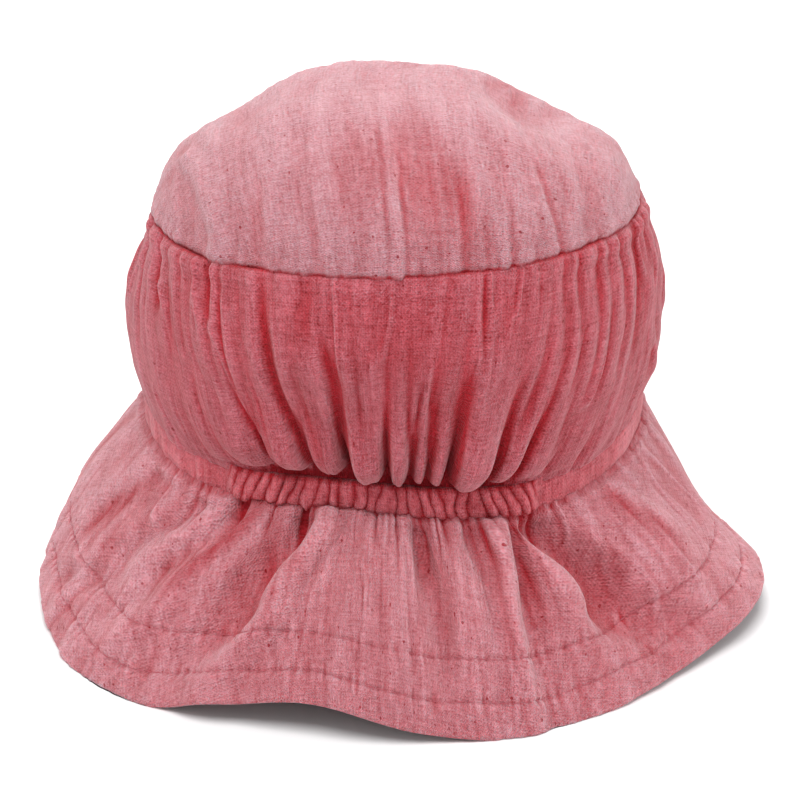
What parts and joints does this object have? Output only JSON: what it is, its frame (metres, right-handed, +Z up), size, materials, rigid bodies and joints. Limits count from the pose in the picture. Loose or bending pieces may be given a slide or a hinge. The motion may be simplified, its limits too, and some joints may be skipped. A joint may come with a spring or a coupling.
{
  "type": "child's sun hat",
  "caption": "Small soft sun hat of crinkled cotton with an oval crown top, a gathered crown side, an elastic casing at the nape and a wavy flared brim.",
  "frame": {"origin": "on the surface the hat stands on, under the middle of the brim's outline", "axes": "+Z up, -Y towards the forehead, +Y towards the nape with its elastic"},
  "size_m": [0.2292, 0.2382, 0.162],
  "materials": {
    "crown_top": "dusty pink crinkled cotton double muslin, matte with a soft fuzz",
    "crown_side": "dusty pink crinkled cotton double muslin, matte with a soft fuzz",
    "elastic_casing": "dusty pink crinkled cotton double muslin, matte, drawn into ribs over the elastic",
    "brim": "dusty pink crinkled cotton double muslin, matte, with rows of matching stitches"
  },
  "bodies": {
    "root": {"crown_top": "crown_top", "crown_side": "crown_side", "elastic_casing": "elastic_casing", "brim": "brim"}
  },
  "joints": []
}
